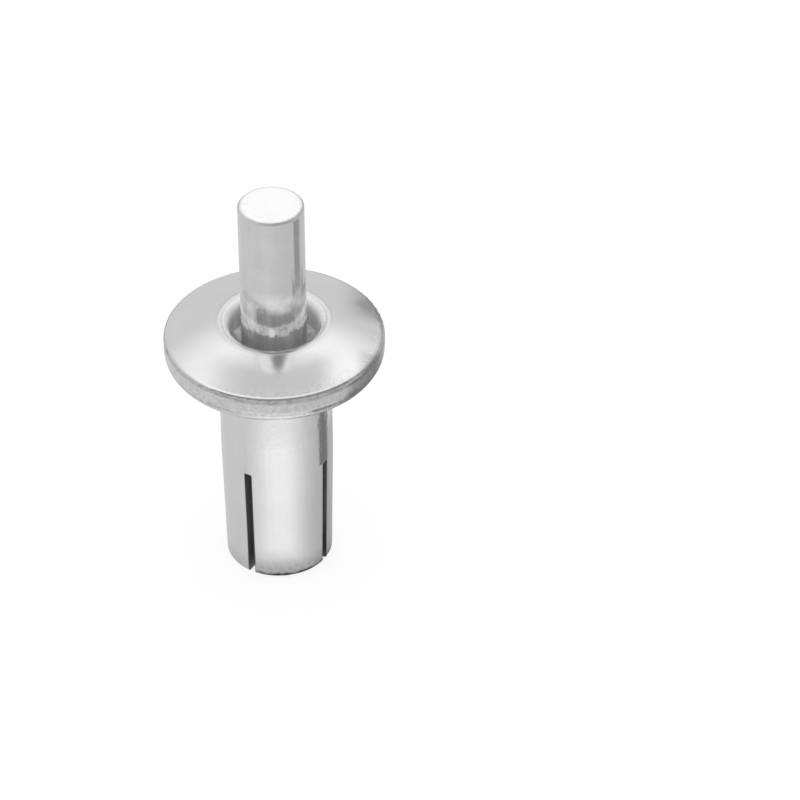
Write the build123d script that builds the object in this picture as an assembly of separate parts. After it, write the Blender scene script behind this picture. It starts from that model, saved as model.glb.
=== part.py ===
from build123d import *
import math
import os

# Drive rivet: a one-piece headed body, slotted at its end, and the plain pin pressed into it.
# Millimetres. The axis is Z, the body's tip stands at Z = 0 and the head is at the top.

# Head
HEAD_DIAMETER = 9.73
RIM_HEIGHT = 1.5  # flat underside to the foot of the dome
DOME_RADIUS = 12.2
RIM_LOWER_ROUND = 0.90
RIM_UPPER_ROUND = 0.18

# Shank
SHANK_DIAMETER = 5.0
SHANK_LENGTH = 10.55  # underside of the head to the tip
TIP_DRAW_IN = 0.12  # each leg is drawn in this far at the tip
TIP_ROUND = 0.12
NECK_FILLET = 0.20

# Slots that part the end of the shank into legs
SAW_CUTS = 2  # each cut runs right across, so it makes two opposite slots
SLOT_LENGTH = 5.8
SLOT_WIDTH = 0.38
SLOT_CLOSING = 0.06  # drawing the legs in has narrowed the slots this much at the tip
SLOT_CORNER = 0.12

# Pin
PIN_DIAMETER = 2.89
PIN_SHORTFALL = 0.15  # driven flush with the lip, the nose ends this far inside the tips
PIN_EDGE = 0.08
PIN_NOSE = 0.30  # 45 degree chamfer that rests on the cone under the bore

# Hollow inside the body
MOUTH_GAP = 0.52  # open ring between the pin and the wall of the mouth
MOUTH_FLOOR = 0.45  # above the underside of the head
MOUTH_LIP = 0.45
PRESS_CLEARANCE = 0.0  # the pin is held by its bore, wall against wall
WEDGE_RISE = 0.8  # the bore starts to narrow this far above the slots
PILOT_DIAMETER = 1.2

# Sizes that follow from the ones above
HEAD_R = HEAD_DIAMETER / 2
SHANK_R = SHANK_DIAMETER / 2
TIP_R = SHANK_R - TIP_DRAW_IN
PIN_R = PIN_DIAMETER / 2
PILOT_R = PILOT_DIAMETER / 2
BORE_R = PIN_R + PRESS_CLEARANCE
MOUTH_R = PIN_R + MOUTH_GAP
BORE_END = SLOT_LENGTH + WEDGE_RISE
PIN_BASE = BORE_END - PIN_NOSE


def dome_z(radius):
    """Height of the dome above the tip, at a radius from the axis."""
    centre = SHANK_LENGTH + RIM_HEIGHT - math.sqrt(DOME_RADIUS**2 - HEAD_R**2)
    return centre + math.sqrt(DOME_RADIUS**2 - radius**2)


def pin_length():
    """Length that brings the pin's two ends to the lip and the tips once it is driven flush."""
    round_r = MOUTH_R + MOUTH_LIP
    drop = DOME_RADIUS - math.sqrt((DOME_RADIUS - MOUTH_LIP) ** 2 - round_r**2) - MOUTH_LIP
    return dome_z(0) - drop - PIN_SHORTFALL


def round_corner(sketch, point, radius):
    """Round the corner of a section that lies nearest to a point."""
    fillet(sketch.vertices().sort_by_distance(point)[0], radius)


def outside_line():
    """Outside of the body, from the lip of the mouth over the head and down to the tip."""
    lip = (MOUTH_R, dome_z(MOUTH_R))
    mid_r = (MOUTH_R + HEAD_R) / 2
    rim_top = (HEAD_R, dome_z(HEAD_R))
    ThreePointArc(lip, (mid_r, dome_z(mid_r)), rim_top)
    Polyline(
        rim_top,
        (HEAD_R, SHANK_LENGTH),
        (SHANK_R, SHANK_LENGTH),
        (SHANK_R, SLOT_LENGTH),
        (TIP_R, 0),
        (PILOT_R, 0),
    )


def inside_line():
    """Inside of the body, from the tip up the pilot hole, cone, bore and mouth to the lip."""
    cone_drop = BORE_R - PILOT_R
    floor = SHANK_LENGTH + MOUTH_FLOOR
    Polyline(
        (PILOT_R, 0),
        (PILOT_R, BORE_END - cone_drop),
        (BORE_R, BORE_END),
        (BORE_R, floor),
        (MOUTH_R, floor + MOUTH_R - BORE_R),
        (MOUTH_R, dome_z(MOUTH_R)),
    )


def body_blank():
    """The headed hollow body, turned about its axis, before its slots are sawn."""
    with BuildPart() as blank:
        with BuildSketch(Plane.XZ) as section:
            with BuildLine():
                outside_line()
                inside_line()
            make_face()
            round_corner(section, (MOUTH_R, dome_z(MOUTH_R)), MOUTH_LIP)
            round_corner(section, (HEAD_R, dome_z(HEAD_R)), RIM_UPPER_ROUND)
            round_corner(section, (HEAD_R, SHANK_LENGTH), RIM_LOWER_ROUND)
            round_corner(section, (SHANK_R, SHANK_LENGTH), NECK_FILLET)
            round_corner(section, (TIP_R, 0), TIP_ROUND)
        revolve(axis=Axis.Z)
    return blank.part


def saw_cut():
    """One cut across the shank's end, which narrows towards the tip and has a rounded root."""
    root = SLOT_WIDTH / 2
    end = (SLOT_WIDTH - SLOT_CLOSING) / 2
    with BuildPart() as cut:
        with BuildSketch(Plane.XZ) as outline:
            with BuildLine():
                Polyline(
                    (-end, -1),
                    (-end, 0),
                    (-root, SLOT_LENGTH),
                    (root, SLOT_LENGTH),
                    (end, 0),
                    (end, -1),
                    close=True,
                )
            make_face()
            round_corner(outline, (-root, SLOT_LENGTH), SLOT_CORNER)
            round_corner(outline, (root, SLOT_LENGTH), SLOT_CORNER)
        extrude(amount=SHANK_DIAMETER, both=True)
    return cut.part


def rivet_body():
    """The finished body: the blank with its crossed saw cuts."""
    body = body_blank()
    for turn in range(SAW_CUTS):
        body -= Rot(Z=turn * 180 / SAW_CUTS) * saw_cut()
    return body


def drive_pin():
    """The plain pin, its nose on the cone and its other end standing proud of the head."""
    with BuildPart(Location((0, 0, PIN_BASE))) as pin:
        Cylinder(PIN_R, pin_length(), align=(Align.CENTER, Align.CENTER, Align.MIN))
        ends = pin.edges().filter_by(GeomType.CIRCLE).sort_by(Axis.Z)
        chamfer(ends[-1], PIN_EDGE)
        chamfer(ends[0], PIN_NOSE)
    return pin.part


os.makedirs("parts", exist_ok=True)
export_step(rivet_body(), "parts/rivet_body.step")
export_step(drive_pin(), "parts/drive_pin.step")
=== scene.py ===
import logging
import math
from dataclasses import dataclass, field
from enum import Enum
from typing import Iterable, Union

import bmesh
import bpy
from mathutils import Matrix, Quaternion, Vector


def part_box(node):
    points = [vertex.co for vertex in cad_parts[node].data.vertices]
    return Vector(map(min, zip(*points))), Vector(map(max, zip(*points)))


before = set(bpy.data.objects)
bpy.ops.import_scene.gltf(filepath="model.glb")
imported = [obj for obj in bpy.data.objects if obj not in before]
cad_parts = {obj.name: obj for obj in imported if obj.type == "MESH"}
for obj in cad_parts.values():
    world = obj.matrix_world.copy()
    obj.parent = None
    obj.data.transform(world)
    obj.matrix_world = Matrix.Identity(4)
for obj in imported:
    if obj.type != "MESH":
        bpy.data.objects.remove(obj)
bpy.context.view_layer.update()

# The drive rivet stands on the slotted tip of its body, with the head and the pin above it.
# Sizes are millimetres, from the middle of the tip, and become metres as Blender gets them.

MM = 0.001
FULL = "full"
"""The name of the value that is 1 at a card's corners where the card is full."""
CAMERA_AZIMUTH = 30.4
# The azimuth, in degrees, that the camera looks from. The painted light and shade on the rivet are laid out
# to its right and away from it.
"""The azimuth, in degrees, of the side that carries the rivet's own marks."""

log = logging.getLogger("drive_rivet")

Paint = tuple[float, float, float, float]
Span = tuple[float, float]
Triple = tuple[float, float, float]
Socket = bpy.types.NodeSocket
Source = Union[Socket, float, tuple]
Named = dict[str, Socket]


def grey(level: float) -> Paint:
    """Gives a grey as a colour with full alpha."""
    return (level, level, level, 1.0)


class Sum(Enum):
    """The arithmetic that the finishes use."""

    ADD = "ADD"
    SUBTRACT = "SUBTRACT"
    MULTIPLY = "MULTIPLY"
    DIVIDE = "DIVIDE"
    MAXIMUM = "MAXIMUM"
    ABSOLUTE = "ABSOLUTE"
    POWER = "POWER"
    ARCTAN2 = "ARCTAN2"


class Wiring:
    """Places shader nodes in one tree and joins them."""

    def __init__(self, tree: bpy.types.NodeTree) -> None:
        """Starts with an empty tree."""
        self.tree = tree
        tree.nodes.clear()

    def node(self, kind: str, **settings: object) -> bpy.types.Node:
        """Places one node.

        Args:
            kind: Blender's name for the node.
            **settings: its properties.

        Returns:
            The node.
        """
        made = self.tree.nodes.new(kind)
        for name, value in settings.items():
            setattr(made, name, value)
        return made

    def feed(self, socket: Socket, source: Source) -> None:
        """Gives an input its value.

        Args:
            socket: the input.
            source: another socket's output, or a constant.
        """
        if isinstance(source, Socket):
            self.tree.links.new(source, socket)
        else:
            socket.default_value = source

    def sum(self, kind: Sum, first: Source, second: Source = 0.0, clamp: bool = False) -> Socket:
        """Works out one sum.

        Args:
            kind: which sum.
            first: the first number.
            second: the second number, where the sum has one.
            clamp: whether the result is held between 0 and 1.

        Returns:
            The result's socket.
        """
        made = self.node("ShaderNodeMath", operation=kind.value, use_clamp=clamp)
        self.feed(made.inputs[0], first)
        self.feed(made.inputs[1], second)
        return made.outputs[0]

    def chain(self, kind: Sum, values: tuple[Source, ...]) -> Source:
        """Works one kind of sum along a row of numbers.

        Args:
            kind: which sum.
            values: the numbers, first to last.

        Returns:
            The result.
        """
        result = values[0]
        for value in values[1:]:
            result = self.sum(kind, result, value)
        return result

    def plus(self, *values: Source) -> Source:
        """Adds numbers up."""
        return self.chain(Sum.ADD, values)

    def less(self, *values: Source) -> Source:
        """Takes all the later numbers from the first."""
        return self.chain(Sum.SUBTRACT, values)

    def times(self, *values: Source) -> Source:
        """Multiplies numbers, or masks, which then hold only where all of them do."""
        return self.chain(Sum.MULTIPLY, values)

    def any_of(self, *masks: Source) -> Source:
        """Takes the strongest of several masks."""
        return self.chain(Sum.MAXIMUM, masks)

    def step(self, value: Source, low: float, high: float) -> Socket:
        """Rises smoothly from 0 at low to 1 at high, or falls where high is the lower.

        Args:
            value: what is measured.
            low: where the result is 0.
            high: where the result is 1.

        Returns:
            The result's socket.
        """
        made = self.node("ShaderNodeMapRange", interpolation_type="SMOOTHSTEP")
        rising = high > low
        self.feed(made.inputs["Value"], value)
        made.inputs["From Min"].default_value = min(low, high)
        made.inputs["From Max"].default_value = max(low, high)
        made.inputs["To Min"].default_value = 0.0 if rising else 1.0
        made.inputs["To Max"].default_value = 1.0 if rising else 0.0
        return made.outputs["Result"]

    def mix(self, kind: str, slots: tuple[int, int, int], values: tuple[Source, Source, Source]) -> Socket:
        """Mixes two numbers or two colours by a mask.

        Args:
            kind: what is mixed, by Blender's name.
            slots: where the mixing node has its two inputs and its output of that kind.
            values: the mask, and what there is where it is 0 and where it is 1.

        Returns:
            The result's socket.
        """
        made = self.node("ShaderNodeMix", data_type=kind)
        for slot, value in zip(("Factor", *slots[:2]), values):
            self.feed(made.inputs[slot], value)
        return made.outputs[slots[2]]

    def blend(self, share: Source, under: Source, over: Source) -> Socket:
        """Mixes two numbers: under where the share is 0, and over where it is 1."""
        return self.mix("FLOAT", (2, 3, 0), (share, under, over))

    def tint(self, share: Source, under: Source, over: Source) -> Socket:
        """Mixes two colours: under where the share is 0, and over where it is 1."""
        return self.mix("RGBA", (6, 7, 2), (share, under, over))

    def lighten(self, colour: Source, change: Source) -> Socket:
        """Makes a colour lighter by a share of itself, or darker where that is negative.

        Args:
            colour: the colour.
            change: the share, where 0 leaves it as it is.

        Returns:
            The new colour's socket.
        """
        made = self.node("ShaderNodeVectorMath", operation="SCALE")
        self.feed(made.inputs[0], colour if isinstance(colour, Socket) else colour[:3])
        self.feed(made.inputs["Scale"], self.plus(1.0, change))
        return made.outputs[0]

    def reach(self, x: Source, y: Source) -> Socket:
        """Gives how far two distances at right angles reach together.

        Args:
            x: the one.
            y: the other.

        Returns:
            The socket of the whole distance.
        """
        flat = self.node("ShaderNodeCombineXYZ")
        self.feed(flat.inputs["X"], x)
        self.feed(flat.inputs["Y"], y)
        length = self.node("ShaderNodeVectorMath", operation="LENGTH")
        self.feed(length.inputs[0], flat.outputs[0])
        return length.outputs["Value"]

    def stretch(self, place: Source, scale: Triple = (1, 1, 1), turn: Triple = (0, 0, 0)) -> Socket:
        """Turns a place from metres into millimetres, drawn out along some axes and turned.

        Args:
            place: the place, in metres.
            scale: how much each axis counts in the result.
            turn: degrees about each axis.

        Returns:
            The new place's socket.
        """
        made = self.node("ShaderNodeMapping")
        self.feed(made.inputs["Vector"], place)
        made.inputs["Scale"].default_value = tuple(share / MM for share in scale)
        made.inputs["Rotation"].default_value = tuple(math.radians(angle) for angle in turn)
        return made.outputs["Vector"]

    def faced(self, place: Source, azimuth: float) -> tuple[Socket, Socket]:
        """Measures a place as someone who stands at an azimuth sees it.

        Args:
            place: the place, in metres.
            azimuth: degrees round the rivet from its front.

        Returns:
            How many millimetres it lies to the right and away.
        """
        parts = self.node("ShaderNodeSeparateXYZ")
        self.feed(parts.inputs[0], self.stretch(place, turn=(0, 0, -azimuth)))
        return parts.outputs["X"], parts.outputs["Y"]

    def noise(self, place: Source, scale: Source, detail: float, rough: float = 0.5) -> Socket:
        """Gives a soft random pattern.

        Args:
            place: the place.
            scale: how many blots there are to one unit of it.
            detail: how many finer layers it has.
            rough: how strong those are.

        Returns:
            The socket of a number near 0.5.
        """
        made = self.node("ShaderNodeTexNoise", noise_dimensions="3D")
        self.feed(made.inputs["Vector"], place)
        self.feed(made.inputs["Scale"], scale)
        made.inputs["Detail"].default_value = detail
        made.inputs["Roughness"].default_value = rough
        return made.outputs["Fac"]

    def signed(self, value: Source, amount: Source) -> Socket:
        """Turns a number near 0.5 into one that swings about 0 by the amount."""
        return self.times(self.less(value, 0.5), amount)

    def glow(self, level: Source) -> Socket:
        """Gives a shader that shines.

        Args:
            level: how brightly, where 1 is white.

        Returns:
            The shader's socket.
        """
        made = self.node("ShaderNodeEmission")
        made.inputs["Color"].default_value = grey(1.0)
        self.feed(made.inputs["Strength"], level)
        return made.outputs[0]

    def show(self, shader: Socket) -> None:
        """Makes a shader the material's surface."""
        self.feed(self.node("ShaderNodeOutputMaterial").inputs["Surface"], shader)


def empty_material(name: str) -> tuple[bpy.types.Material, Wiring]:
    """Makes a material with no nodes yet.

    Args:
        name: its name.

    Returns:
        The material and its wiring.
    """
    material = bpy.data.materials.new(name)
    material.use_nodes = True
    return material, Wiring(material.node_tree)


def by_name(sockets: Iterable[Socket]) -> Named:
    """Lists sockets by their names."""
    return {socket.name: socket for socket in sockets}


class Effects:
    """Shader node groups that both finishes of the rivet use. Each is built once."""

    def __init__(self) -> None:
        """Builds every group."""
        self.place = self._place_on_the_rivet()
        self.streaks = self._drawn_streaks()
        self.scratches = self._fine_scratches()
        self.haze = self._handling_haze()
        self.edge = self._wear_and_shade_edge()
        self.ring = self._ragged_ring()

    @staticmethod
    def _new(name: str, outputs: list[str], **inputs: float) -> tuple[Wiring, Named, Named]:
        """Starts a group, which always has a Place.

        Args:
            name: the group's name.
            outputs: the names of its number outputs.
            **inputs: its other inputs' defaults, with _ for a space.

        Returns:
            Its wiring, what it is given and what it puts out, by name.
        """
        tree = bpy.data.node_groups.new(name, "ShaderNodeTree")
        number = "NodeSocketFloat"
        tree.interface.new_socket("Place", in_out="INPUT", socket_type="NodeSocketVector")
        for title, default in inputs.items():
            socket = tree.interface.new_socket(title.replace("_", " "), in_out="INPUT", socket_type=number)
            socket.default_value = default
        for title in outputs:
            tree.interface.new_socket(title, in_out="OUTPUT", socket_type=number)
        w = Wiring(tree)
        given, out = w.node("NodeGroupInput").outputs, w.node("NodeGroupOutput").inputs
        return w, by_name(given), by_name(out)

    def _place_on_the_rivet(self) -> bpy.types.NodeTree:
        """Measures a place in millimetres from the rivet's axis and up from its tip.

        Returns:
            The group.
        """
        names = ["Radius", "Height", "Across X", "Across Y", "Right", "Away"]
        w, given, out = self._new("place_on_the_rivet", names)
        parts = w.node("ShaderNodeSeparateXYZ")
        w.feed(parts.inputs[0], w.stretch(given["Place"]))
        x, y, z = parts.outputs
        right, away = w.faced(given["Place"], CAMERA_AZIMUTH)
        across = w.sum(Sum.ABSOLUTE, x), w.sum(Sum.ABSOLUTE, y)
        for name, measure in zip(names, (w.reach(x, y), z, *across, right, away)):
            w.feed(out[name], measure)
        return w.tree

    def _drawn_streaks(self) -> bpy.types.NodeTree:
        """Fine lines along the rivet, as drawing wire through a die leaves them.

        Returns:
            The group.
        """
        w, given, out = self._new("drawn_streaks", ["Shade", "Relief"], Lines_per_mm=6.0, Depth=0.001)
        lines = w.noise(w.stretch(given["Place"], (1, 1, 0.035)), given["Lines per mm"], 3.0, 0.6)
        w.feed(out["Shade"], w.signed(lines, 2.0))
        w.feed(out["Relief"], w.signed(lines, given["Depth"]))
        return w.tree

    def _fine_scratches(self) -> bpy.types.NodeTree:
        """Sparse short scratches from rubbing against other rivets.

        Returns:
            The group.
        """
        w, given, out = self._new("fine_scratches", ["Scratch", "Relief"], Share=0.3, Depth=0.002)
        marks = []
        for turn in ((20, 35, 10), (-40, 15, 75), (65, -30, 140)):
            line = w.noise(w.stretch(given["Place"], (0.35, 6.0, 6.0), turn), 1.0, 1.0, 0.4)
            marks.append(w.step(w.sum(Sum.ABSOLUTE, w.less(line, 0.5)), 0.012, 0.0))
        share = w.node("ShaderNodeMapRange")
        w.feed(share.inputs["Value"], w.noise(w.stretch(given["Place"], (0.8, 0.8, 0.8)), 1.0, 1.0))
        w.feed(share.inputs["From Min"], 0.45)
        w.feed(share.inputs["From Max"], 0.65)
        w.feed(share.inputs["To Max"], given["Share"])
        seen = w.times(w.any_of(*marks), share.outputs["Result"])
        w.feed(out["Scratch"], seen)
        w.feed(out["Relief"], w.times(seen, given["Depth"], -1.0))
        return w.tree

    def _handling_haze(self) -> bpy.types.NodeTree:
        """Slow clouds of duller and brighter metal, with a fine grain in them.

        Returns:
            The group.
        """
        w, given, out = self._new("handling_haze", ["Cloud", "Grain"], Blots_per_mm=0.6, Grain_per_mm=7.0)
        place = w.stretch(given["Place"])
        w.feed(out["Cloud"], w.signed(w.noise(place, given["Blots per mm"], 3.0, 0.55), 2.0))
        w.feed(out["Grain"], w.signed(w.noise(place, given["Grain per mm"], 2.0, 0.6), 2.0))
        return w.tree

    def _wear_and_shade_edge(self) -> bpy.types.NodeTree:
        """Marks a band round one circular edge, broken up in patches: worn metal round the pin's end, and the
        painted dark line under the body's dome.

        Returns:
            The group.
        """
        sizes = {"Radius": 1.0, "Height": 0.0, "Edge_radius": 1.0, "Edge_height": 0.0}
        w, given, out = self._new("edge_wear_and_shade", ["Wear"], **sizes, Width=0.1, Whole=0.0)
        aside = w.less(given["Radius"], given["Edge radius"])
        away = w.reach(aside, w.less(given["Height"], given["Edge height"]))
        near = w.sum(Sum.SUBTRACT, 1.0, w.sum(Sum.DIVIDE, away, given["Width"]), clamp=True)
        broken = w.noise(w.stretch(given["Place"]), 2.2, 3.0, 0.6)
        kept = w.any_of(w.step(broken, 0.3, 0.6), given["Whole"])
        w.feed(out["Wear"], w.times(w.step(near, 0.0, 0.8), kept))
        return w.tree

    def _ragged_ring(self) -> bpy.types.NodeTree:
        """Marks a thin ring round the rivet at one height, with a ragged edge.

        Returns:
            The group.
        """
        sizes = {"Height": 0.0, "Ring_height": 0.0, "Width": 0.1}
        w, given, out = self._new("ragged_ring", ["Ring"], **sizes, Wander=0.05, Whole=0.0)
        slow = w.noise(w.stretch(given["Place"], (1, 1, 0.2)), 1.6, 2.0, 0.6)
        middle = w.plus(given["Ring height"], w.signed(slow, w.times(given["Wander"], 4.0)))
        away = w.sum(Sum.ABSOLUTE, w.less(given["Height"], middle))
        near = w.sum(Sum.SUBTRACT, 1.0, w.sum(Sum.DIVIDE, away, given["Width"]), clamp=True)
        broken = w.noise(w.stretch(given["Place"], (1, 1, 0.5)), 3.2, 3.0, 0.65)
        kept = w.any_of(w.step(broken, 0.25, 0.6), given["Whole"])
        w.feed(out["Ring"], w.times(w.step(near, 0.0, 0.7), kept))
        return w.tree


@dataclass(frozen=True)
class RivetPart:
    """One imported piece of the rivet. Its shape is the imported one, and only its finish is made here.

    Attributes:
        node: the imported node's name.
    """

    node: str

    @property
    def radius(self) -> float:
        """How far it reaches from the axis, in millimetres."""
        low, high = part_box(self.node)
        return (high[0] - low[0]) / 2 / MM

    @property
    def top(self) -> float:
        """How far up it reaches, in millimetres."""
        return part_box(self.node)[1][2] / MM

    def wear(self, material: bpy.types.Material) -> None:
        """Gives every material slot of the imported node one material.

        Args:
            material: what it wears.
        """
        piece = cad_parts[self.node]
        if not piece.material_slots:
            piece.data.materials.append(material)
        for slot in piece.material_slots:
            slot.material = material
        log.info("%s wears %s", self.node, material.name)


@dataclass(frozen=True)
class RivetBody(RivetPart):
    """The headed, slotted body. It reaches out to its rim and up to the lip of its mouth.

    Attributes:
        finish: the metal it wears.
        bore_radius: where the hollow's wall stands in the mouth.
        head_foot: the height of the head's underside.
        dome_foot: the height where the dome begins at the rim.
        slot_top: the height where the slots end.
        slot_half: half the width that the slots' walls take.
    """

    finish: "BodyAluminium"
    bore_radius: float = 1.965
    head_foot: float = 10.55
    dome_foot: float = 12.05
    slot_top: float = 5.8
    slot_half: float = 0.195

    def dress(self) -> None:
        """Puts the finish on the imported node."""
        self.wear(self.finish.make(self))


@dataclass(frozen=True)
class DrivePin(RivetPart):
    """The plain pin that spreads the legs.

    Attributes:
        finish: the metal it wears.
        body: the body that holds it, whose lip marks its side.
    """

    finish: "PinSteel"
    body: RivetBody

    def dress(self) -> None:
        """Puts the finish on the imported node."""
        self.wear(self.finish.make(self))


@dataclass(frozen=True)
class Blank:
    """A new material, ready for its colours.

    Attributes:
        w: its wiring.
        material: the material.
        shader: its shader.
        place: the place on the surface.
        at: the named measures of that place.
    """

    w: Wiring
    material: bpy.types.Material
    shader: bpy.types.Node
    place: Socket
    at: Named

    def use(self, group: bpy.types.NodeTree, **given: Source) -> Named:
        """Places a shared group at the place on the surface.

        Args:
            group: the node group.
            **given: its other inputs, with _ for a space.

        Returns:
            Its outputs by name.
        """
        made = self.w.node("ShaderNodeGroup", node_tree=group)
        self.w.feed(made.inputs["Place"], self.place)
        for title, source in given.items():
            self.w.feed(made.inputs[title.replace("_", " ")], source)
        return by_name(made.outputs)

    def paint(self, colour: Source, roughness: Source, metallic: Source) -> None:
        """Gives the shader its colour, its roughness and how much of it is bare metal."""
        for title, source in (("Base Color", colour), ("Roughness", roughness), ("Metallic", metallic)):
            self.w.feed(self.shader.inputs[title], source)

    def relief(self, *heights: Source) -> None:
        """Lets fine heights tilt the surface.

        Args:
            *heights: the heights in millimetres, which add up.
        """
        bump = self.w.node("ShaderNodeBump")
        bump.inputs["Strength"].default_value = 1.0
        bump.inputs["Distance"].default_value = MM
        self.w.feed(bump.inputs["Height"], self.w.plus(*heights))
        self.w.feed(self.shader.inputs["Normal"], bump.outputs["Normal"])


@dataclass(frozen=True)
class Finish:
    """What the two metals of the rivet have in common.

    Attributes:
        name: the material's name.
        effects: the shared node groups.
    """

    name: str
    effects: Effects

    def start(self) -> Blank:
        """Makes the material with its shader, place and measures.

        Returns:
            The new material.
        """
        material, w = empty_material(self.name)
        shader = w.node("ShaderNodeBsdfPrincipled")
        w.show(shader.outputs["BSDF"])
        place = w.node("ShaderNodeTexCoord").outputs["Object"]
        blank = Blank(w, material, shader, place, {})
        blank.at.update(blank.use(self.effects.place))
        return blank


class BodySurface:
    """The parts, patterns and marks of the body's surface, each a number that changes over it."""

    def __init__(self, blank: Blank, body: RivetBody, effects: Effects) -> None:
        """Finds them all.

        Args:
            blank: the material that they are for.
            body: the body.
            effects: the shared node groups.
        """
        self.blank, self.body, self.effects, self.w = blank, body, effects, blank.w
        self.radius, self.height = blank.at["Radius"], blank.at["Height"]
        self.right, self.away = blank.at["Right"], blank.at["Away"]
        self._find_parts()
        self._lay_patterns()
        self._find_sides()
        self._mark_lines()

    def _find_parts(self) -> None:
        """Masks the parts of the body."""
        w, body, radius, height = self.w, self.body, self.radius, self.height
        bore, head, lip = body.bore_radius, body.radius, body.top
        self.hollow = w.times(w.step(radius, bore + 0.06, bore - 0.01), w.step(height, lip - 0.2, lip - 0.5))
        walls = [
            w.step(self.blank.at[across], body.slot_half + 0.008, body.slot_half - 0.002)
            for across in ("Across X", "Across Y")
        ]
        self.slot = w.times(w.any_of(*walls), w.step(height, body.slot_top + 0.02, body.slot_top - 0.02))
        self.rim = w.times(
            w.step(radius, head - 0.9, head - 0.6),
            w.step(height, body.dome_foot - 0.03, body.dome_foot - 0.11),
            w.step(height, body.head_foot - 0.5, body.head_foot - 0.4),
        )
        self.shank = w.step(height, body.head_foot + 0.02, body.head_foot - 0.1)
        self.lip = w.times(w.step(radius, bore + 0.75, bore + 0.45), w.step(height, lip - 0.5, lip - 0.3))
        self.dome_edge = w.times(
            w.step(radius, head - 0.75, head - 0.2), w.step(height, body.dome_foot - 0.1, body.dome_foot)
        )
        self.tip = w.step(height, 1.15, 0.15)

    def _lay_patterns(self) -> None:
        """Lays the shared patterns that reach all over the body."""
        use, effects = self.blank.use, self.effects
        self.haze = use(effects.haze, Blots_per_mm=0.45, Grain_per_mm=5.5)
        self.ripples = use(effects.haze, Blots_per_mm=2.2, Grain_per_mm=5.0)
        self.streaks = use(effects.streaks, Lines_per_mm=4.5, Depth=0.0010)
        self.lumps = use(effects.streaks, Lines_per_mm=1.5, Depth=0.02)
        self.scratches = use(effects.scratches, Share=0.35, Depth=0.0012)

    def _find_sides(self) -> None:
        """Masks the sides and bands where painted light and shade go, and where the grain is coarser."""
        w, radius, height, right, away = self.w, self.radius, self.height, self.right, self.away
        bore, lip, foot = self.body.bore_radius, self.body.top, self.body.head_foot
        cloud = self.ripples["Cloud"]
        # The left side and the left leg, where less painted shade and less mottle go.
        self.left_side = w.step(right, -0.8, -2.4)
        self.left_leg = w.step(right, -0.75, -1.25)
        # Painted shade: the front right, where the rim's lower dark line is widest and darkest.
        self.front_right_shade = w.times(w.step(right, 1.45, 1.85), w.step(right, 3.2, 2.4), w.step(away, 0.0, -1.0))
        # Painted shade on the lower right of the rim, in clouds.
        self.shaded_rim_right = w.times(
            self.rim, w.step(right, 2.5, 3.4), w.step(height, foot + 1.15, foot + 0.7), w.plus(1.0, cloud)
        )
        # Painted highlight: the inner lip at the back and on the left, pale and with little metal so that it
        # reads lit.
        self.painted_lit_lip = w.times(
            w.step(radius, bore + 0.36, bore + 0.26),
            w.step(height, lip - 0.75, lip - 0.40),
            w.any_of(w.step(away, -0.6, 0.2), w.step(right, -1.2, -1.6)),
        )
        # Painted light: the right of the hollow's wall, with no metal and calmer lumps, so that it reads lit.
        self.lit_wall = w.step(right, 0.9, 1.5)
        # Painted highlight: a pale strip down the shank's right edge, strongest near its top.
        self.rub_and_highlight = w.times(
            w.step(right, 2.24, 2.36), self.shank, w.blend(w.step(height, 7.2, 8.6), 0.25, 0.8)
        )
        # Painted shade on the right of the head above the rim's foot, at the back and, in clouds, at the
        # front.
        shade_back = w.times(w.step(right, 2.6, 4.3), w.step(away, 0.0, 1.2), 0.34)
        cloudy = w.plus(0.25, w.times(cloud, 0.12))
        shade_front = w.times(w.step(right, 3.5, 4.1), w.step(away, -1.3, -2.0), cloudy)
        self.right_shade = w.times(w.any_of(shade_back, shade_front), w.step(height, foot + 0.8, foot + 1.2))
        # Painted shade: a ragged dark line along the tip's bottom edge.
        self.shaded_foot = w.step(w.plus(height, w.times(cloud, 0.14)), 0.26, 0.08)
        self.mottled = w.any_of(
            self.rim,
            w.times(self.dome_edge, w.blend(self.left_side, 0.55, 0.10)),
            w.times(self.tip, w.blend(self.left_leg, 0.95, 0.45)),
        )

    def _mark_lines(self) -> None:
        """Draws two dark lines round the head as painted shade: one under the dome's edge, which stands in
        for a reflection of the dark room ahead, and a ragged one lower on the rim.
        """
        w, body, effects = self.w, self.body, self.effects
        # Painted shade and reflection: a dark line under the dome's edge, set a little higher on the left.
        self.edge_shade_line = self.blank.use(
            effects.edge,
            Radius=self.radius,
            Height=self.height,
            Edge_radius=body.radius,
            Edge_height=w.blend(self.left_side, body.dome_foot - 0.11, body.dome_foot - 0.04),
            Width=0.16,
            Whole=0.6,
        )["Wear"]
        # Painted shade: a ragged dark line lower on the rim.
        self.rim_shade_line = self.blank.use(
            effects.ring,
            Height=self.height,
            Ring_height=body.head_foot + 0.67,
            Width=w.blend(self.front_right_shade, 0.09, 0.14),
            Wander=0.025,
            Whole=self.front_right_shade,
        )["Ring"]


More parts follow.
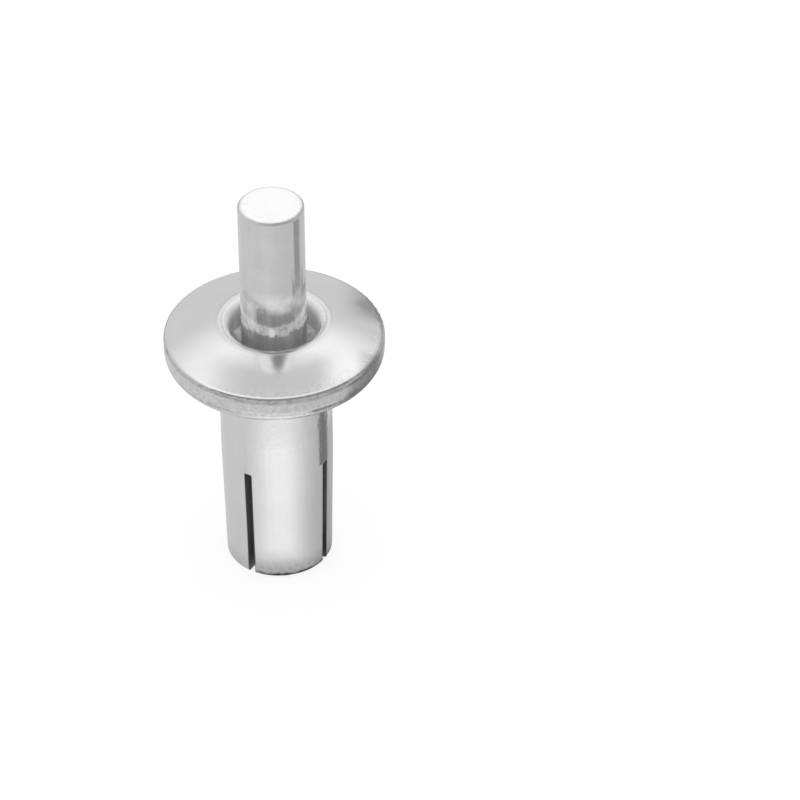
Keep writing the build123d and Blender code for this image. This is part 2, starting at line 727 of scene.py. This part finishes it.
@dataclass(frozen=True)
class BodyAluminium(Finish):
    """The body's aluminium: polished on the dome, pressed and grainy round the rim, smooth along the shank.

    Attributes:
        bright: the colour of the polished dome.
        smooth: the colour of the shank.
        rim: the colour of the head's side.
        line: the colour of the painted dark line where the dome meets the rim, painted shade and reflection.
        hollow: the colour inside the mouth.
        sawn_and_shaded: the colour of the slots' walls, saw-cut metal darkened as painted shade in the narrow
            slots.
        slot_shade: the colour of the slots' walls toward the tip, deeper painted shade.
        pale: the colour of the painted highlights, on the inner lip and down the right edge of the shank.
    """

    bright: Paint = grey(0.88)
    smooth: Paint = grey(0.815)
    rim: Paint = grey(0.76)
    line: Paint = grey(0.46)
    hollow: Paint = grey(0.90)
    sawn_and_shaded: Paint = grey(0.46)
    slot_shade: Paint = grey(0.20)
    pale: Paint = grey(0.97)

    def make(self, body: RivetBody) -> bpy.types.Material:
        """Makes the material.

        Args:
            body: the body that wears it.

        Returns:
            The material.
        """
        blank = self.start()
        on = BodySurface(blank, body, self.effects)
        blank.paint(self._colour(on), self._roughness(on), self._metallic(on))
        blank.relief(*self._heights(on))
        return blank.material

    @staticmethod
    def _shade(on: BodySurface) -> Source:
        """Adds up how much lighter or darker than its own colour the metal is: random clouds, grain and
        streaks, and painted shade in several places.

        Args:
            on: the body's surface.

        Returns:
            The change, as a share of the colour.
        """
        w, head = on.w, on.body.radius
        lighter = w.plus(
            w.times(on.haze["Cloud"], 0.06),
            w.times(on.haze["Grain"], w.blend(on.mottled, 0.02, 0.30)),
            w.times(on.streaks["Shade"], on.shank, 0.03),
        )
        return w.less(
            lighter,
            # Painted shade: darker toward the tip and along its bottom edge, much less so on the left leg.
            w.times(on.tip, w.blend(on.left_leg, 0.30, 0.14)),
            w.times(on.shaded_foot, w.blend(on.left_leg, 0.62, 0.05)),
            # Painted shade along the rim's lower dark line.
            w.times(on.rim_shade_line, on.rim, w.blend(on.front_right_shade, 0.26, 0.60)),
            # Painted shade on the lower right of the rim.
            w.times(on.shaded_rim_right, 0.38),
            # Painted shade on the right of the head.
            on.right_shade,
            # Darker round the dome's outer edge, except on the left.
            w.times(w.step(on.radius, head - 0.32, head - 0.08), on.dome_edge, w.blend(on.left_side, 0.14, 0.0)),
            w.times(on.lip, 0.12),
        )

    def _colour(self, on: BodySurface) -> Socket:
        """Paints the body, from its broad parts to its marks, with painted shade and painted highlights among
        them.

        Args:
            on: the body's surface.

        Returns:
            The colour's socket.
        """
        w = on.w
        paint = w.tint(on.rim, w.tint(on.shank, self.bright, self.smooth), self.rim)
        # The painted dark line under the dome's edge takes the line colour.
        paint = w.tint(on.edge_shade_line, w.lighten(paint, self._shade(on)), self.line)
        # The lumps are calmer on the painted lit wall.
        lumps = w.times(on.lumps["Shade"], w.blend(on.lit_wall, 1.5, 0.6))
        walls = w.lighten(self.hollow, w.plus(w.times(on.streaks["Shade"], 0.5), lumps))
        paint = w.tint(on.hollow, paint, walls)
        # Painted highlights: the pale inner lip and the strip down the shank's right edge.
        paint = w.tint(w.any_of(on.painted_lit_lip, on.rub_and_highlight), paint, self.pale)
        # Painted shade in the slots, deeper toward the tip.
        paint = w.tint(on.slot, paint, self.sawn_and_shaded)
        return w.tint(w.times(on.slot, w.step(on.height, 2.6, 0.3)), paint, self.slot_shade)

    @staticmethod
    def _roughness(on: BodySurface) -> Socket:
        """Makes the dome and the shank smoothest and the slots' walls roughest.

        Args:
            on: the body's surface.

        Returns:
            The roughness's socket.
        """
        w = on.w
        rough = w.blend(on.shank, 0.13, 0.10)
        for part, level in ((on.mottled, 0.20), (on.lip, 0.26), (on.hollow, 0.24), (on.slot, 0.50)):
            rough = w.blend(part, rough, level)
        rough = w.plus(rough, w.times(on.haze["Cloud"], 0.02))
        return w.sum(Sum.ADD, rough, w.times(on.scratches["Scratch"], 0.12), clamp=True)

    @staticmethod
    def _metallic(on: BodySurface) -> Socket:
        """Makes it bare metal, apart from the hollow, the painted lit wall in it and the painted highlights,
        which take less metal so that they read lighter.

        Args:
            on: the body's surface.

        Returns:
            The share's socket.
        """
        w = on.w
        # The hollow takes less metal, and the painted lit wall none.
        metal = w.blend(on.hollow, 1.0, w.blend(on.lit_wall, 0.30, 0.0))
        # The painted highlights take less metal, so that they read lighter.
        metal = w.blend(on.painted_lit_lip, metal, 0.15)
        return w.blend(on.rub_and_highlight, metal, 0.30)

    @staticmethod
    def _heights(on: BodySurface) -> list[Source]:
        """Lists the relief in millimetres: the rim's roll, its grain, waves, drawn lines and scratches.

        Args:
            on: the body's surface.

        Returns:
            The heights.
        """
        w, body = on.w, on.body
        past = w.sum(Sum.MAXIMUM, w.less(on.radius, body.radius - 0.22), 0.0)
        rolled = w.times(past, past, w.step(on.height, body.head_foot + 0.05, body.dome_foot - 0.15), -1.1)
        grain = w.times(on.haze["Grain"], w.blend(on.mottled, 0.0003, 0.005))
        slow = w.times(on.haze["Cloud"], w.blend(on.shank, 0.002, 0.003))
        waves = w.plus(on.ripples["Cloud"], w.times(on.ripples["Grain"], 0.3))
        wavy = w.times(waves, on.shank, w.blend(w.step(on.height, body.slot_top, 8.0), 0.002, 0.011))
        drawn = w.times(on.streaks["Relief"], w.any_of(on.shank, w.times(on.hollow, 0.4)))
        return [rolled, grain, slow, wavy, drawn, on.scratches["Relief"]]


class PinSurface:
    """The parts, patterns and marks of the pin's surface, each a number that changes over it."""

    def __init__(self, blank: Blank, pin: DrivePin, effects: Effects) -> None:
        """Finds them all.

        Args:
            blank: the material that they are for.
            pin: the pin.
            effects: the shared node groups.
        """
        self.w = w = blank.w
        radius, height = blank.at["Radius"], blank.at["Height"]
        side, top, lip = pin.radius, pin.top, pin.body.top
        self.haze = blank.use(effects.haze, Blots_per_mm=0.8, Grain_per_mm=6.0)
        self.streaks = blank.use(effects.streaks, Lines_per_mm=3.0, Depth=0.0012)
        self.dents = blank.use(effects.streaks, Lines_per_mm=1.7, Depth=0.06)
        self.scratches = blank.use(effects.scratches, Share=0.5, Depth=0.0015)

        self.end = w.times(
            w.step(height, top - 0.03, top - 0.005), w.step(radius, side - 0.03, side - 0.09)
        )
        self.end_round = w.times(
            w.step(height, top - 0.18, top - 0.09), w.step(radius, side - 0.2, side - 0.1)
        )
        self.end_edge = blank.use(
            effects.edge, Radius=radius, Height=height, Edge_radius=side, Edge_height=top, Width=0.16
        )["Wear"]
        # Painted shade: the side below the lip, inside the mouth.
        self.shaded_below_lip = w.step(height, lip + 0.16, lip + 0.06)
        self.scuffed = w.step(height, lip + 2.4, lip + 0.9)
        # A pale ragged ring just above the lip: partly worn metal, partly a painted reflection of the bright
        # lip.
        self.ring = blank.use(
            effects.ring, Height=height, Ring_height=lip + 0.30, Width=0.25, Wander=0.13, Whole=0.35
        )["Ring"]
        smeared = w.times(
            w.step(height, lip + 1.05, lip + 1.45),
            w.step(height, lip + 2.6, lip + 1.9),
            w.step(self.haze["Cloud"], -0.35, 0.25),
            0.85,
        )
        # Painted glint: a small white spot on the pin's front, just above the lip.
        self.painted_glint = w.times(
            w.step(w.sum(Sum.ABSOLUTE, w.plus(blank.at["Right"], 0.05)), 0.16, 0.07),
            w.step(height, lip + 0.04, lip + 0.16),
            w.step(height, lip + 0.66, lip + 0.40),
            w.step(blank.at["Away"], 0.0, -0.5),
        )
        # The pale marks: smears, the ring with its painted reflection, and the painted glint.
        self.pale = w.any_of(w.times(self.ring, 0.8), smeared, self.painted_glint)


@dataclass(frozen=True)
class PinSteel(Finish):
    """The pin's bright drawn steel: mirror-like round its side, cropped at its top, and marked above the lip
    with pale smears, a pale ring and a painted glint.

    Attributes:
        side: the colour of the drawn side.
        end: the colour of the cropped end.
        edge: the colour round the end's edge.
        rub_and_highlight: the colour of the pale marks: smears above the lip, the ring that is partly wear
            and partly painted reflection, and the painted glint.
        shaded_below_lip: the colour of the side below the lip, painted shade inside the mouth.
    """

    side: Paint = grey(0.785)
    end: Paint = grey(0.93)
    edge: Paint = grey(0.70)
    rub_and_highlight: Paint = grey(0.96)
    shaded_below_lip: Paint = grey(0.44)

    def make(self, pin: DrivePin) -> bpy.types.Material:
        """Makes the material.

        Args:
            pin: the pin that wears it.

        Returns:
            The material.
        """
        blank = self.start()
        on = PinSurface(blank, pin, self.effects)
        blank.paint(self._colour(on), self._roughness(on), self._metallic(on))
        w = on.w
        slow = w.times(on.haze["Cloud"], w.blend(on.scuffed, 0.005, 0.012))
        dented = w.times(on.dents["Relief"], on.scuffed)
        blank.relief(slow, on.streaks["Relief"], dented, on.scratches["Relief"])
        return blank.material

    def _colour(self, on: PinSurface) -> Socket:
        """Paints the pin, from its broad parts to its marks, with painted shade below the lip and painted
        light in its pale marks.

        Args:
            on: the pin's surface.

        Returns:
            The colour's socket.
        """
        w = on.w
        paint = w.tint(on.end_edge, w.tint(on.end, self.side, self.end), self.edge)
        shade = w.plus(
            w.times(on.haze["Cloud"], 0.10),
            w.times(on.haze["Grain"], w.blend(on.end, 0.04, 0.01)),
            w.times(on.streaks["Shade"], w.blend(on.end, w.blend(on.scuffed, 0.07, 0.40), 0.0)),
        )
        # Painted shade below the lip, broken up in lumps.
        dark = w.times(on.shaded_below_lip, w.sum(Sum.ADD, 0.75, on.dents["Shade"], clamp=True))
        return w.tint(on.pale, w.tint(dark, w.lighten(paint, shade), self.shaded_below_lip), self.rub_and_highlight)

    @staticmethod
    def _roughness(on: PinSurface) -> Socket:
        """Makes the drawn side smoothest and the end's round roughest.

        Args:
            on: the pin's surface.

        Returns:
            The roughness's socket.
        """
        w = on.w
        rough = w.blend(on.scuffed, 0.09, 0.16)
        for part, level in ((on.end, 0.20), (on.end_round, 0.50), (on.shaded_below_lip, 0.35), (on.ring, 0.45)):
            rough = w.blend(part, rough, level)
        rough = w.plus(rough, w.times(on.haze["Cloud"], 0.03))
        return w.sum(Sum.ADD, rough, w.times(on.scratches["Scratch"], 0.15), clamp=True)

    @staticmethod
    def _metallic(on: PinSurface) -> Socket:
        """Makes it bare metal, apart from the pale marks, the painted glint and the painted shade below the
        lip.
        """
        w = on.w
        return w.blend(on.painted_glint, w.blend(on.pale, w.blend(on.shaded_below_lip, 1.0, 0.5), 0.35), 0.0)


@dataclass(frozen=True)
class Softbox:
    """A round lamp overhead that lights the floor, and that the metal doesn't mirror.

    Attributes:
        name: the lamp's name.
        height: how far it hangs above the floor.
        across: its diameter.
        glow: how bright its face is, where 1 is white.
    """

    name: str
    height: float
    across: float
    glow: float

    def build(self) -> None:
        """Hangs the lamp. Its power is what gives its face the glow: pi times its area."""
        lamp = bpy.data.lights.new(self.name, "AREA")
        lamp.shape = "DISK"
        lamp.size = self.across * MM
        lamp.energy = self.glow * math.pi * math.pi / 4 * lamp.size**2
        hung = bpy.data.objects.new(self.name, lamp)
        hung.location = (0, 0, self.height * MM)
        hung.visible_camera = False
        hung.visible_glossy = False
        bpy.context.scene.collection.objects.link(hung)
        log.info("%s hangs %.0f mm up", self.name, self.height)


def disc(radius: float, height: float, segments: int) -> bmesh.types.BMesh:
    """Cuts a level disc.

    Args:
        radius: its size, in millimetres.
        height: how far up it lies.
        segments: how many sides it has.

    Returns:
        Its mesh, in place.
    """
    made = bmesh.new()
    bmesh.ops.create_circle(made, cap_ends=True, segments=segments, radius=radius * MM)
    bmesh.ops.translate(made, verts=made.verts, vec=(0, 0, height * MM))
    return made


@dataclass(frozen=True)
class Card:
    """An oblong card that only the polished metal mirrors.

    Attributes:
        name: the card's name.
        centre: its middle, in millimetres: to the camera's right, away from the camera, and up.
        size: how wide and how tall it is.
        level: how light it is, where 1 is white.
        soft: how wide the band is in which its edge fades.
        turn: degrees that it is turned about the vertical, where 0 faces the camera.
        flat: whether it lies level.
    """

    name: str
    centre: Triple
    size: Span
    level: float
    soft: float
    turn: float = 0.0
    flat: bool = False

    def shape(self, facing: float) -> bmesh.types.BMesh:
        """Cuts the card.

        Args:
            facing: the azimuth that the camera looks from.

        Returns:
            Its mesh, in place, with a value at each corner that is 1 where the card is full.
        """
        x, y = (extent / 2 * MM for extent in self.size)
        made = bmesh.new()
        full = made.verts.layers.float.new(FULL)
        corners = ((-x, -y, 0), (x, -y, 0), (x, y, 0), (-x, y, 0))
        face = made.faces.new([made.verts.new(corner) for corner in corners])
        bmesh.ops.inset_region(
            made, faces=[face], use_boundary=True, use_even_offset=True, thickness=self.soft * MM
        )
        for vert in face.verts:
            vert[full] = 1.0
        if not self.flat:
            bmesh.ops.rotate(made, verts=made.verts, matrix=Matrix.Rotation(math.radians(90), 3, "X"))
        bmesh.ops.rotate(made, verts=made.verts, matrix=Matrix.Rotation(math.radians(self.turn), 3, "Z"))
        bmesh.ops.translate(made, verts=made.verts, vec=Vector(self.centre) * MM)
        bmesh.ops.rotate(made, verts=made.verts, matrix=Matrix.Rotation(math.radians(facing), 3, "Z"))
        return made


def level_place(w: Wiring, facing: float) -> tuple[Socket, Socket]:
    """Measures how far a place on a level sheet lies to the camera's right and away from the camera."""
    return w.faced(w.node("ShaderNodeTexCoord").outputs["Object"], facing)


@dataclass(frozen=True)
class Sheen:
    """How bright the floor round the rivet is where the polished metal mirrors it.

    A smooth round shank mirrors the floor as if every ray left one line, halfway from its axis to its
    front, so the bright patch is a wedge about that line.

    Each span gives where something is absent and where it is full, in millimetres from that line or in
    degrees about it, towards the camera's right.

    Attributes:
        shank_radius: the shank's radius.
        patch: how much brighter the middle of the wedge is.
        patch_left: the wedge's left side.
        patch_right: its right side.
        near: the wedge's near end.
        far: where the wedge fades.
        faded: the share of it that is left there.
        gone: the far end of the wedge and the shade.
        shade: how much darker the floor is to the right.
        shade_side: the shade's side.
        beyond: how much darker it is farther off, in front and to the right.
        beyond_side: the side of that.
        beyond_near: its near end.
        beyond_far: its far end.
    """

    shank_radius: float = 2.5
    patch: float = 0.35
    patch_left: Span = (-70, -2)
    patch_right: Span = (75, 12)
    near: Span = (1.7, 3.2)
    far: Span = (10.2, 11.6)
    faded: float = 0.72
    gone: Span = (17.0, 14.0)
    shade: float = 0.24
    shade_side: Span = (40, 130)
    beyond: float = 0.07
    beyond_side: Span = (-10, 45)
    beyond_near: Span = (15.0, 18.0)
    beyond_far: Span = (60.0, 40.0)

    def wire(self, w: Wiring, facing: float) -> Socket:
        """Wires the pattern.

        Args:
            w: the floor's wiring.
            facing: the azimuth that the camera looks from.

        Returns:
            The socket of what the sheen adds to the floor's own glow.
        """
        right, away = level_place(w, facing)
        front = w.less(-self.shank_radius / 2, away)
        turn = w.times(w.sum(Sum.ARCTAN2, right, front), 180 / math.pi)
        off = w.reach(right, front)
        wedge = w.times(w.step(turn, *self.patch_left), w.step(turn, *self.patch_right))
        fading = w.blend(w.step(off, *self.far), 1.0, self.faded)
        within = w.step(off, *self.gone)
        bright = w.times(wedge, w.step(off, *self.near), fading, within, self.patch)
        dark = w.times(w.step(turn, *self.shade_side), within, self.shade)
        ring = w.times(w.step(off, *self.beyond_near), w.step(off, *self.beyond_far))
        return w.less(bright, dark, w.times(w.step(turn, *self.beyond_side), ring, self.beyond))


@dataclass(frozen=True)
class Canopy:
    """How bright the diffuser overhead is: brightest about its middle, with a dim window behind the rivet.

    Attributes:
        height: how high it hangs above the floor.
        radius: its size.
        glow: how much brighter than the surround its middle is.
        lean: how much brighter each millimetre to the camera's right is.
        dim: how much darker the window is than that.
        rim: how far from the middle it has faded, and how far it is full.
        left: where the window starts and is full at the camera's left.
        right: the same at the camera's right.
        middle: how far the window's middle stands to the camera's left.
        back: where the window starts and is full away from the camera.
        bow: how much nearer that lies for each square millimetre aside of the middle.
        front: the same towards the camera.
        slant: how much farther away that lies for each millimetre aside.
    """

    height: float = 212.0
    radius: float = 430.0
    glow: float = 0.37
    lean: float = 0.0003
    dim: float = 0.42
    rim: Span = (345, 125)
    left: Span = (-120, -35)
    right: Span = (92, 50)
    middle: float = 8.0
    back: Span = (112, 60)
    bow: float = 0.0065
    front: Span = (-10, 10)
    slant: float = 0.35

    def wire(self, w: Wiring, facing: float) -> Socket:
        """Wires the pattern.

        Args:
            w: the diffuser's wiring.
            facing: the azimuth that the camera looks from.

        Returns:
            The socket of what the diffuser adds to the surround's glow.
        """
        right, away = level_place(w, facing)
        lit = w.times(w.step(w.reach(right, away), *self.rim), w.plus(self.glow, w.times(right, self.lean)))
        aside = w.sum(Sum.POWER, w.sum(Sum.ABSOLUTE, w.plus(right, self.middle)), 2.0)
        behind = w.less(away, w.times(aside, self.bow))
        before = w.less(away, w.times(w.sum(Sum.ABSOLUTE, right), self.slant))
        sides = w.times(w.step(right, *self.left), w.step(right, *self.right))
        return w.less(lit, w.times(sides, w.step(behind, *self.back), w.step(before, *self.front), self.dim))


@dataclass
class Studio:
    """The pale floor, the white surround, the lamp and the cards that the polished metal mirrors.

    Attributes:
        facing: the azimuth that the camera looks from.
        floor_radius: the floor's size.
        floor_gap: how far it lies under the tip, so that their faces don't meet.
        fill: how bright the surround is where it lights the floor.
        mirrored: how bright the surround is where the metal mirrors it.
        floor_paint: the floor's colour.
        floor_glow: how much light the floor gives of its own.
        floor_mirrored: the same, where the metal mirrors it.
        sheen: how the floor looks in the metal.
        canopy: the diffuser overhead.
        cards: the room before the rivet, the light behind it, and the neighbour at its right.
    """

    facing: float
    floor_radius: float = 900.0
    floor_gap: float = 0.004
    fill: float = 0.75
    mirrored: float = 0.66
    floor_paint: float = 0.25
    floor_glow: float = 0.79
    floor_mirrored: float = 0.4375
    sheen: Sheen = Sheen()
    canopy: Canopy = Canopy()
    cards: tuple[Card, ...] = (
        Card("room_above", (47, -276, 205), (640, 412), level=0.24, soft=36, turn=24, flat=True),
        Card("room_ahead", (75, -150, 110), (700, 210), level=0.32, soft=30),
        Card("back_card", (0, 200, 165), (50, 60), level=1.15, soft=12),
        Card("neighbour_side", (39.3, 20.4, 17.5), (87, 25), level=0.45, soft=9, turn=117.5),
        Card("neighbour_foot", (6.5, 0.65, 3.8), (3.1, 4.6), level=0.20, soft=0.25, turn=106),
        Card("neighbour_head", (10.6, 1.5, 5.3), (12.0, 4.8), level=0.34, soft=0.5, turn=100),
        Card("neighbour_pin", (11.0, 0.05, 9.6), (4.3, 5.2), level=0.36, soft=0.4, turn=105),
    )

    def build(self) -> None:
        """Builds everything round the rivet."""
        self._surround()
        self._floor()
        self._diffuser()
        for card in self.cards:
            self._hang_card(card)
        Softbox("overhead", height=300, across=640, glow=0.45).build()

    def _surround(self) -> None:
        """Makes the surround white where it is seen, and dimmer where it is mirrored or lights the floor."""
        world = bpy.data.worlds.new("studio")
        world.use_nodes = True
        bpy.context.scene.world = world
        w = Wiring(world.node_tree)
        path = w.node("ShaderNodeLightPath")
        seen = w.any_of(path.outputs["Is Camera Ray"], path.outputs["Is Transmission Ray"])
        light = w.node("ShaderNodeBackground")
        light.inputs["Color"].default_value = grey(1.0)
        unseen = w.blend(path.outputs["Is Glossy Ray"], self.fill, self.mirrored)
        w.feed(light.inputs["Strength"], w.blend(seen, unseen, 1.0))
        w.feed(w.node("ShaderNodeOutputWorld").inputs["Surface"], light.outputs[0])

    def _floor(self) -> None:
        """Lays the pale floor under the tip."""
        floor = self._staged("floor", disc(self.floor_radius, -self.floor_gap, 64))
        material, w = empty_material("pale_floor")
        paint = w.node("ShaderNodeBsdfDiffuse")
        paint.inputs["Color"].default_value = grey(self.floor_paint)
        mirrored = w.plus(self.floor_mirrored, self.sheen.wire(w, self.facing))
        mirroring = w.node("ShaderNodeLightPath").outputs["Is Glossy Ray"]
        both = w.node("ShaderNodeAddShader")
        w.feed(both.inputs[0], paint.outputs[0])
        w.feed(both.inputs[1], w.glow(w.blend(mirroring, self.floor_glow, mirrored)))
        w.show(both.outputs[0])
        floor.data.materials.append(material)

    def _diffuser(self) -> None:
        """Hangs the wide diffuser overhead."""
        w = self._hang("diffuser", disc(self.canopy.radius, self.canopy.height, 96))
        w.show(w.glow(w.plus(self.mirrored, self.canopy.wire(w, self.facing))))

    def _hang_card(self, card: Card) -> None:
        """Hangs a card that fades where its corners aren't full.

        Args:
            card: the card.
        """
        w = self._hang(card.name, card.shape(self.facing))
        full = w.node("ShaderNodeAttribute", attribute_name=FULL).outputs["Fac"]
        mixed = w.node("ShaderNodeMixShader")
        w.feed(mixed.inputs[0], w.step(full, 0.0, 1.0))
        w.feed(mixed.inputs[1], w.node("ShaderNodeBsdfTransparent").outputs[0])
        w.feed(mixed.inputs[2], w.glow(card.level))
        w.show(mixed.outputs[0])

    def _hang(self, name: str, shape: bmesh.types.BMesh) -> Wiring:
        """Hangs a mesh that only the polished metal mirrors.

        Args:
            name: the object's name.
            shape: its mesh.

        Returns:
            The wiring of its new material.
        """
        hung = self._staged(name, shape)
        material, w = empty_material(name)
        hung.data.materials.append(material)
        hung.visible_camera = False
        hung.visible_diffuse = False
        hung.visible_shadow = False
        hung.visible_transmission = False
        return w

    @staticmethod
    def _staged(name: str, shape: bmesh.types.BMesh) -> bpy.types.Object:
        """Turns a mesh into an object of the studio.

        Args:
            name: the object's name.
            shape: its mesh.

        Returns:
            The object.
        """
        mesh = bpy.data.meshes.new(name)
        shape.to_mesh(mesh)
        shape.free()
        made = bpy.data.objects.new(name, mesh)
        bpy.context.scene.collection.objects.link(made)
        log.info("%s stands in the studio", name)
        return made


@dataclass
class Viewpoint:
    """Where the camera stands and looks.

    Attributes:
        place: the lens, in millimetres.
        toward: the direction it looks.
        lean: degrees that it is turned about that direction.
        lens: the focal length on the sensor.
        sensor: the sensor's width.
    """

    place: Vector = field(default_factory=lambda: Vector((80.698, -126.67, 126.828)))
    toward: Vector = field(default_factory=lambda: Vector((-0.39705, 0.67684, -0.61987)))
    lean: float = 0.27
    lens: float = 193.63
    sensor: float = 36.0

    @property
    def azimuth(self) -> float:
        """Degrees round the rivet from its front to where the camera looks from."""
        return math.degrees(math.atan2(-self.toward.x, self.toward.y))

    def build(self) -> None:
        """Sets up the camera."""
        camera = bpy.data.cameras.new("camera")
        camera.lens = self.lens
        camera.sensor_width = self.sensor
        camera.clip_start, camera.clip_end = 0.01, 20.0
        stand = bpy.data.objects.new("camera", camera)
        stand.location = self.place * MM
        stand.rotation_mode = "QUATERNION"
        roll = Quaternion((0, 0, 1), -math.radians(self.lean))
        stand.rotation_quaternion = self.toward.to_track_quat("-Z", "Y") @ roll
        bpy.context.scene.collection.objects.link(stand)
        bpy.context.scene.camera = stand
        log.info("the camera looks from azimuth %.1f degrees", self.azimuth)


def main() -> None:
    """Builds the studio, the camera and the two metals, in that order."""
    logging.basicConfig(level=logging.INFO, format="%(name)s: %(message)s")
    bpy.context.scene.view_settings.view_transform = "Standard"
    viewpoint = Viewpoint()
    viewpoint.build()
    Studio(facing=viewpoint.azimuth).build()
    effects = Effects()
    body = RivetBody("rivet_body", BodyAluminium("body_aluminium", effects))
    pin = DrivePin("drive_pin", PinSteel("pin_steel", effects), body)
    body.dress()
    pin.dress()


if __name__ == "__main__":
    main()
